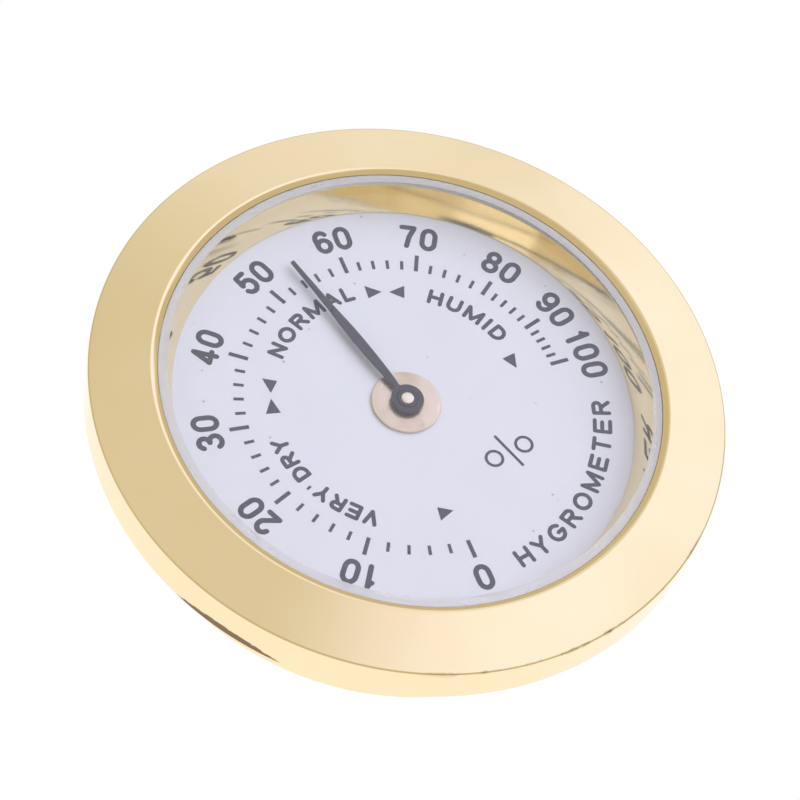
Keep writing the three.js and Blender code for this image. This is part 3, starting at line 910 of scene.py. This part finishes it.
def make_cover():
    """The pressed back: a shallow pan with air slots and an opening for the screw."""
    pan_front = TOTAL_DEPTH - COVER_SHEET
    rim_front = front_of("rear_cover")
    outline = [
        (ADJUSTER_OPENING_RADIUS, pan_front),
        (COVER_PAN_RADIUS - COVER_SHEET, pan_front),
        (COVER_PAN_RADIUS - COVER_SHEET + COVER_SLOPE, rim_front),
        (STACK_RADIUS, rim_front),
        (STACK_RADIUS, COVER_RIM_BACK),
        (COVER_PAN_RADIUS + COVER_SLOPE, COVER_RIM_BACK),
        (COVER_PAN_RADIUS, TOTAL_DEPTH),
        (ADJUSTER_OPENING_RADIUS, TOTAL_DEPTH),
    ]
    points, faces = turned_mesh(softened(outline, 0.08), RING_SEGMENTS)
    piece = place("cover", points, faces, "case", turned_brass, ["rear_cover"])
    slots = [flat_layer([vent_outline(i)]) for i in range(VENT_COUNT)]
    cut_out(piece, cutter_from(*sheet_mesh(slots, pan_front - 1, TOTAL_DEPTH + 1)))
    piece.data.shade_smooth()
    soften_edges(piece, 0.07)


# ---- dial printing

def loop(x, y, width, height):
    return arc(x, y, width, height, 0, 360, 24)


# Each glyph's strokes, in a box from (0, 0) to (1, 1) through the middle of its outer strokes.
GLYPHS = {
    "0": [arc(0.5, 0.68, 0.5, 0.32, 0, 180) + arc(0.5, 0.32, 0.5, 0.32, 180, 360) + [(1, 0.68)]],
    "1": [[(0.1, 0.76), (0.38, 0.84), (0.55, 1), (0.55, 0)]],
    "2": [arc(0.5, 0.7, 0.47, 0.3, 165, -35) + [(0.0, 0.0), (1.0, 0.0)]],
    "3": [
        arc(0.48, 0.76, 0.44, 0.24, 160, -90),
        arc(0.48, 0.26, 0.52, 0.26, 90, -160),
    ],
    "4": [[(1.0, 0.24), (0.0, 0.24), (0.7, 1.0), (0.7, 0.0)]],
    "5": [[(0.9, 1.0), (0.18, 1.0), (0.06, 0.52)] + arc(0.48, 0.33, 0.52, 0.33, 135, -160)],
    "6": [loop(0.5, 0.3, 0.5, 0.3), arc(0.5, 0.68, 0.5, 0.32, 35, 180) + [(0.0, 0.3)]],
    "7": [[(0.0, 1.0), (1.0, 1.0), (0.6, 0.5), (0.4, 0.0)]],
    "8": [loop(0.5, 0.76, 0.43, 0.24), loop(0.5, 0.26, 0.5, 0.26)],
    "9": [loop(0.5, 0.7, 0.5, 0.3), arc(0.5, 0.32, 0.5, 0.32, 215, 360) + [(1.0, 0.7)]],
    "A": [[(0, 0), (0.5, 1), (1, 0)], [(0.17, 0.34), (0.83, 0.34)]],
    "D": [[(0, 0), (0, 1), (0.4, 1)] + arc(0.4, 0.5, 0.6, 0.5, 90, -90) + [(0, 0)]],
    "E": [[(1, 1), (0, 1), (0, 0), (1, 0)], [(0, 0.52), (0.88, 0.52)]],
    "G": [arc(0.5, 0.5, 0.5, 0.5, 42, 345, 16) + [(1.0, 0.46), (0.58, 0.46)]],
    "H": [[(0, 0), (0, 1)], [(1, 0), (1, 1)], [(0, 0.5), (1, 0.5)]],
    "I": [[(0.5, 0), (0.5, 1)]],
    "L": [[(0, 1), (0, 0), (1, 0)]],
    "M": [[(0, 0), (0, 1), (0.5, 0.05), (1, 1), (1, 0)]],
    "N": [[(0, 0), (0, 1), (1, 0), (1, 1)]],
    "O": [loop(0.5, 0.5, 0.5, 0.5)],
    "R": [
        [(0, 0), (0, 1), (0.6, 1)] + arc(0.6, 0.76, 0.36, 0.24, 90, -90) + [(0, 0.52)],
        [(0.5, 0.52), (1, 0)],
    ],
    "T": [[(0, 1), (1, 1)], [(0.5, 1), (0.5, 0)]],
    "U": [[(0, 1), (0, 0.36)] + arc(0.5, 0.36, 0.5, 0.36, 180, 360) + [(1, 1)]],
    "V": [[(0, 1), (0.5, 0), (1, 1)]],
    "Y": [[(0, 1), (0.5, 0.48), (1, 1)], [(0.5, 0.48), (0.5, 0)]],
}
# The glyphs that are wider or narrower than the rest, as a share of the usual width.
GLYPH_WIDTHS = {"1": 0.72, "G": 1.15, "I": 0.3, "L": 0.8, "M": 1.25, "O": 1.2}

SHARP_TURN = math.radians(50)
SAME_POINT = 1e-3


def bar(start, end, width):
    """A straight mark between two points, with square ends."""
    start, end = Vector(start), Vector(end)
    side = (end - start).normalized().orthogonal() * width / 2
    return [start + side, end + side, end - side, start - side]


def turn_at(line, i):
    """How sharply a line turns at one of its inner points, in radians."""
    return (line[i] - line[i - 1]).angle(line[i + 1] - line[i])


def ribbon(line, width):
    """The outline of a gently curving line of a given width."""
    left, right = [], []
    for i, point in enumerate(line):
        before = line[max(i, 1)] - line[max(i, 1) - 1]
        after = line[min(i + 1, len(line) - 1)] - line[min(i, len(line) - 2)]
        heading = (before.normalized() + after.normalized()).normalized()
        side = heading.orthogonal() * width / 2 / heading.dot(after.normalized())
        left.append(point + side)
        right.append(point - side)
    return left + right[::-1]


def stroke_outlines(points, width):
    """Overlapping ribbons, and round ends and corners, that draw a line of a given width."""
    line = [Vector(points[0])]
    for point in points[1:]:
        if (Vector(point) - line[-1]).length > SAME_POINT:
            line.append(Vector(point))
    last = len(line) - 1
    stops = [0] + [i for i in range(1, last) if turn_at(line, i) > SHARP_TURN] + [last]
    if (line[last] - line[0]).length < SAME_POINT:
        stops.insert(-1, last // 2)
    stops = sorted(set(stops))
    outlines = [ribbon(line[a:b + 1], width) for a, b in zip(stops, stops[1:])]
    outlines += [arc(*line[i], width / 2, width / 2, 0, 330, 11) for i in stops]
    return [counterclockwise(outline) for outline in outlines]


def counterclockwise(outline):
    points = [Vector(p) for p in outline]
    doubled = sum(a.cross(b) for a, b in zip(points, points[1:] + points[:1]))
    return points if doubled > 0 else points[::-1]


def glyph_layer(character, width, height, stroke):
    """A glyph's flat triangles, centred on its own base line."""
    inner_width = width - stroke
    inner_height = height - stroke
    outlines = []
    for points in GLYPHS[character]:
        line = [((x - 0.5) * inner_width, stroke / 2 + y * inner_height) for x, y in points]
        outlines.extend(stroke_outlines(line, stroke))
    return flat_layer(outlines)


def word_layers(text, start, end, base_radius, width, height, stroke, tops_inward=False):
    """Glyphs set round the dial between two angles, with even gaps. Tops point outwards, unless
    the word is read from below the dial."""
    middle = base_radius + (-height if tops_inward else height) / 2
    widths = [width * GLYPH_WIDTHS.get(character, 1.0) for character in text]
    span = math.radians(abs(end - start)) * middle
    gap = (span - sum(widths)) / (len(text) - 1) if len(text) > 1 else 0
    forward = -1 if tops_inward else 1
    layers, travelled = [], 0.0
    for character, glyph_width in zip(text, widths):
        angle = start + forward * math.degrees((travelled + glyph_width / 2) / middle)
        flat, triangles = glyph_layer(character, glyph_width, height, stroke)
        turn = angle + 180 if tops_inward else angle
        lift = -base_radius if tops_inward else base_radius
        layers.append(([turned_point(x, z + lift, turn) for x, z in flat], triangles))
        travelled += glyph_width + gap
    return layers


INK_DEPTH = DIAL_FRONT - 0.002
INK_THICKNESS = 0.012

# Where each ten stands on the printed scale.
SCALE_ANGLES = {
    0: -134.2, 10: -99.3, 20: -67.7, 30: -38.7, 40: -10.4, 50: 18.2,
    60: 45.8, 70: 71.35, 80: 96.9, 90: 117.1, 100: 134.1,
}
TICK_INNER = 9.43
MAJOR_OUTER = 10.58
MINOR_OUTER = 10.03
MAJOR_WIDTH = 0.24
MINOR_WIDTH = 0.19
NUMERAL_BASE = 11.05
NUMERAL_HEIGHT = 1.66
NUMERAL_WIDTH = 1.06
NUMERAL_STROKE = 0.31
NUMERAL_GAP = 0.2
WORD_STROKE = 0.24
WORD_HEIGHT = 1.04

# Each word over the scale's zones: its start and end angles, base radius and letter width.
ZONE_WORDS = [
    ("VERY", -101.0, -73.5, 7.6, 0.84),
    ("DRY", -67.3, -46.5, 7.6, 0.88),
    ("NORMAL", -5.5, 44.5, 7.5, 0.92),
    ("HUMID", 77.5, 115.8, 7.32, 0.92),
]
APOSTROPHE_ANGLE = -71.0
APOSTROPHE_INNER = 8.25
APOSTROPHE_OUTER = 8.55
APOSTROPHE_WIDTH = 0.15


def print_piece(name, layers):
    points, faces = sheet_mesh(layers, INK_DEPTH - INK_THICKNESS, INK_DEPTH)
    piece = place(name, points, faces, "case", ink)
    piece.data.shade_flat()


def mark(angle, inner, outer, width):
    """A short straight mark on the dial, pointing at its middle."""
    outline = bar((0, inner), (0, outer), width)
    return flat_layer([counterclockwise([turned_point(x, z, angle) for x, z in outline])])


def print_scale():
    """Eleven long ticks, one at each ten, with four short ones between."""
    layers = []
    tens = list(SCALE_ANGLES.values())
    for angle, following in zip(tens, tens[1:] + [None]):
        layers.append(mark(angle, TICK_INNER, MAJOR_OUTER, MAJOR_WIDTH))
        if following is not None:
            for step in range(1, 5):
                between = angle + (following - angle) * step / 5
                layers.append(mark(between, TICK_INNER, MINOR_OUTER, MINOR_WIDTH))
    print_piece("print_scale", layers)


def print_numerals():
    layers = []
    for value, angle in SCALE_ANGLES.items():
        text = str(value)
        width = sum(NUMERAL_WIDTH * GLYPH_WIDTHS.get(digit, 1.0) for digit in text)
        width += NUMERAL_GAP * (len(text) - 1)
        middle = NUMERAL_BASE + NUMERAL_HEIGHT / 2
        half = math.degrees(width / 2 / middle)
        layers += word_layers(
            text, angle - half, angle + half, NUMERAL_BASE, NUMERAL_WIDTH, NUMERAL_HEIGHT, NUMERAL_STROKE
        )
    print_piece("print_numerals", layers)


def print_words():
    """The three zones' names above the middle, and the instrument's kind below it."""
    layers = []
    for text, start, end, base_radius, width in ZONE_WORDS:
        layers += word_layers(text, start, end, base_radius, width, WORD_HEIGHT, WORD_STROKE)
    layers.append(mark(APOSTROPHE_ANGLE, APOSTROPHE_INNER, APOSTROPHE_OUTER, APOSTROPHE_WIDTH))
    layers += word_layers("HYGROMETER", 214.6, 150.0, 12.2, 0.98, 1.16, WORD_STROKE, tops_inward=True)
    print_piece("print_words", layers)


# Each zone marker: its tip and its base, as angle and radius, with the base's half width.
ZONE_MARKERS = [
    ((-133.8, 7.4), (-127.0, 7.45)),
    ((-26.8, 7.86), (-34.0, 7.84)),
    ((-24.0, 7.86), (-17.5, 7.97)),
    ((57.0, 7.8), (50.3, 7.88)),
    ((60.3, 7.77), (67.0, 7.82)),
    ((131.5, 7.35), (124.2, 7.33)),
]
MARKER_HALF_WIDTH = 0.44


def on_dial(angle, radius):
    return Vector(turned_point(0, radius, angle))


def print_markers():
    """Small triangles that point to the ends of the zones."""
    layers = []
    for tip, base in ZONE_MARKERS:
        corners = [
            on_dial(*tip),
            on_dial(base[0], base[1] + MARKER_HALF_WIDTH),
            on_dial(base[0], base[1] - MARKER_HALF_WIDTH),
        ]
        layers.append(flat_layer([counterclockwise(corners)]))
    print_piece("print_zone_markers", layers)


# The per cent sign: the ends of its slash, and the middles and size of its rings.
PERCENT_SLASH = [(0.44, -5.46), (-0.55, -7.58)]
PERCENT_RINGS = [(-0.96, -5.96), (0.78, -7.14)]
PERCENT_RING_RADIUS = 0.49
PERCENT_STROKE = 0.17


def print_percent():
    outlines = stroke_outlines(PERCENT_SLASH, PERCENT_STROKE)
    for x, z in PERCENT_RINGS:
        ring = arc(x, z, PERCENT_RING_RADIUS, PERCENT_RING_RADIUS, 0, 360, 28)
        outlines += stroke_outlines(ring, PERCENT_STROKE)
    print_piece("print_percent", [flat_layer(outlines)])


# ---- the movement

def make_bush():
    """The copper bush: a disc in front of the dial, a tube through it, and a riveted end."""
    disc_front = front_of("centre_bush")
    back = back_of("centre_bush")
    disc_back = DIAL_FRONT - 0.03
    rivet_front = back_of("movement_plate") + 0.02
    radius = radius_of("centre_bush")
    outline = [
        (BUSH_BORE, disc_front),
        (radius, disc_front),
        (radius, disc_back),
        (BUSH_TUBE_RADIUS, disc_back),
        (BUSH_TUBE_RADIUS, rivet_front),
        (BUSH_RIVET_RADIUS, rivet_front),
        (BUSH_RIVET_RADIUS, rivet_front + 0.1),
        (BUSH_BORE, back),
    ]
    turned("bush", outline, 0.03, SMALL_SEGMENTS, "movement", copper, ["centre_bush"])


def make_adjuster():
    """The slotted screw at the back, which holds the arbor's rear pivot."""
    front = front_of("calibration_screw")
    back = back_of("calibration_screw")
    bridge_back = back_of("movement_bridge")
    span_front = bridge_back - 0.3
    head_radius = radius_of("calibration_screw")
    bore = PIVOT_RADIUS + 0.05
    collar_radius, neck_radius, gap = 1.0, 0.7, 0.02
    slot_half_length, slot_half_width, slot_depth = 2, 0.2, 0.45
    outline = [
        (bore, front),
        (collar_radius, front),
        (collar_radius, span_front - gap),
        (neck_radius, span_front - gap),
        (neck_radius, bridge_back + gap),
        (head_radius, bridge_back + gap),
        (head_radius, back),
        (0, back),
        (0, bridge_back),
        (bore, bridge_back),
    ]
    points, faces = turned_mesh(softened(outline, 0.08), SMALL_SEGMENTS)
    piece = place(
        "adjuster", points, faces, "movement", turned_brass, ["calibration_screw"]
    )
    slot = flat_layer([[
        (-slot_half_length, -slot_half_width),
        (slot_half_length, -slot_half_width),
        (slot_half_length, slot_half_width),
        (-slot_half_length, slot_half_width),
    ]])
    cut_out(piece, cutter_from(*sheet_mesh([slot], back - slot_depth, back + 1)))
    piece.data.shade_smooth()
    soften_edges(piece, 0.04)


def make_coil():
    """The sensing coil: half a turn round the collet, then an even spiral out to the stud."""
    inner_radius, stud_offset, turns, thickness = 1.03, 5.4, 4.5, 0.14
    steps_per_turn = 72
    hugging = math.pi
    stud_angle = hugging + 2 * math.pi * turns
    full_turn = stud_angle + math.radians(8)
    pitch = (stud_offset - inner_radius) / turns
    steps = math.ceil(full_turn / (2 * math.pi) * steps_per_turn)
    front = FRONT_Y + front_of("sensing_coil")
    back = FRONT_Y + back_of("sensing_coil")
    points = []
    for i in range(steps + 1):
        turn = full_turn * i / steps
        radius = inner_radius + pitch * max(0.0, turn - hugging) / (2 * math.pi)
        angle = turn - stud_angle - math.pi / 2
        for edge, depth in ((-1, front), (1, front), (1, back), (-1, back)):
            reach = radius + edge * thickness / 2
            points.append((reach * math.cos(angle), depth, reach * math.sin(angle)))
    faces = [(3, 2, 1, 0)]
    for i in range(steps):
        for k in range(4):
            a, b = 4 * i + k, 4 * i + (k + 1) % 4
            faces.append((a, b, b + 4, a + 4))
    last = 4 * steps
    faces.append((last, last + 1, last + 2, last + 3))
    piece = place("coil", points, faces, "movement", coil_film, ["sensing_coil"])
    soften_edges(piece, 0.02, 2)


def make_arbor():
    """The shaft from the pointer to the rear pivot; its rounded front end shows."""
    front = front_of("arbor")
    back = back_of("arbor")
    shoulder = back_of("sensing_coil") + 0.1
    outline = [
        (0, front),
        (ARBOR_RADIUS, front),
        (ARBOR_RADIUS, shoulder),
        (PIVOT_RADIUS, shoulder),
        (PIVOT_RADIUS, back),
        (0, back),
    ]
    turned("pin", outline, 0.11, SMALL_SEGMENTS, "pointer", pin_brass, ["arbor"])


def make_hub():
    """The black collar behind the pointer, with a spigot through the pointer's eye."""
    front = front_of("pointer_hub")
    back = back_of("pointer_hub")
    gap = 0.02
    eye_back = back_of("pointer") + gap
    bore = ARBOR_RADIUS + gap
    collar_radius = EYE_RADIUS - gap
    outline = [
        (bore, front),
        (HUB_SPIGOT_RADIUS, front),
        (HUB_SPIGOT_RADIUS, eye_back),
        (collar_radius, eye_back),
        (collar_radius, back),
        (bore, back),
    ]
    turned("hub", outline, 0.03, SMALL_SEGMENTS, "pointer", lacquer, ["pointer_hub"])


def curve_to(start, control, end, steps=10):
    """Points after the start of a curve that bends towards its control point."""
    start, control, end = Vector(start), Vector(control), Vector(end)
    return [on_curve(start, control, end, i / steps) for i in range(1, steps + 1)]


def make_pointer():
    """The needle: narrow at the eye, widest before its middle, with a blunt tip."""
    neck, belly, shoulder, tip = 0.16, 0.31, 0.19, 0.12
    belly_at, fullness, shoulder_at = 4.8, 0.9, 7.6
    neck_at = math.sqrt(EYE_RADIUS ** 2 - neck ** 2)
    edge = [Vector((neck, neck_at))]
    edge += curve_to((neck, neck_at), (belly, belly_at / 2), (belly, belly_at))
    edge += curve_to((belly, belly_at), (belly, belly_at + fullness), (shoulder, shoulder_at))
    edge.append(Vector((tip, POINTER_LENGTH)))
    mirrored = [Vector((-p.x, p.y)) for p in reversed(edge)]
    opening = math.degrees(math.asin(neck / EYE_RADIUS))
    eye = arc(0, 0, EYE_RADIUS, EYE_RADIUS, 90 + opening, 450 - opening, 56)[1:-1]
    outline = [turned_point(x, z, POINTER_ANGLE) for x, z in edge + mirrored + eye]
    hole = arc(0, 0, HUB_SPIGOT_RADIUS + 0.02, HUB_SPIGOT_RADIUS + 0.02, 0, 355, 71)
    layer = flat_layer([counterclockwise(outline)], [hole])
    points, faces = sheet_mesh([layer], front_of("pointer"), back_of("pointer"))
    piece = place("needle", points, faces, "pointer", lacquer, ["pointer"])
    soften_edges(piece, 0.03, 3)


def finish_cad_nodes():
    """The pieces whose CAD shape stays, with softened edges and a proper finish."""
    finishes = {
        "dial_plate": (dial_paint, 0.03),
        "dial_clamp_ring": (black_plastic, 0.06),
        "friction_washer": (steel, 0.03),
        "movement_plate": (sheet_brass, 0.05),
        "movement_bridge": (sheet_brass, 0.05),
        "bridge_rivet_upper": (steel, 0.03),
        "bridge_rivet_lower": (steel, 0.03),
        "coil_stud": (turned_brass, 0.03),
        "coil_wedge": (steel, 0.02),
        "coil_collet": (turned_brass, 0.03),
    }
    for name, (material, softness) in finishes.items():
        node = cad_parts[name]
        node.data.materials.clear()
        node.data.materials.append(material)
        node.modifiers.new("join corners", "WELD").merge_threshold = 0.001 * MM
        soften_edges(node, softness, 2)


make_camera()
make_floor()
make_studio()
make_key_light()
make_bezel()
make_lens()
make_reflector()
make_cover()
print_scale()
print_numerals()
print_words()
print_markers()
print_percent()
make_bush()
make_adjuster()
make_coil()
make_arbor()
make_hub()
make_pointer()
finish_cad_nodes()
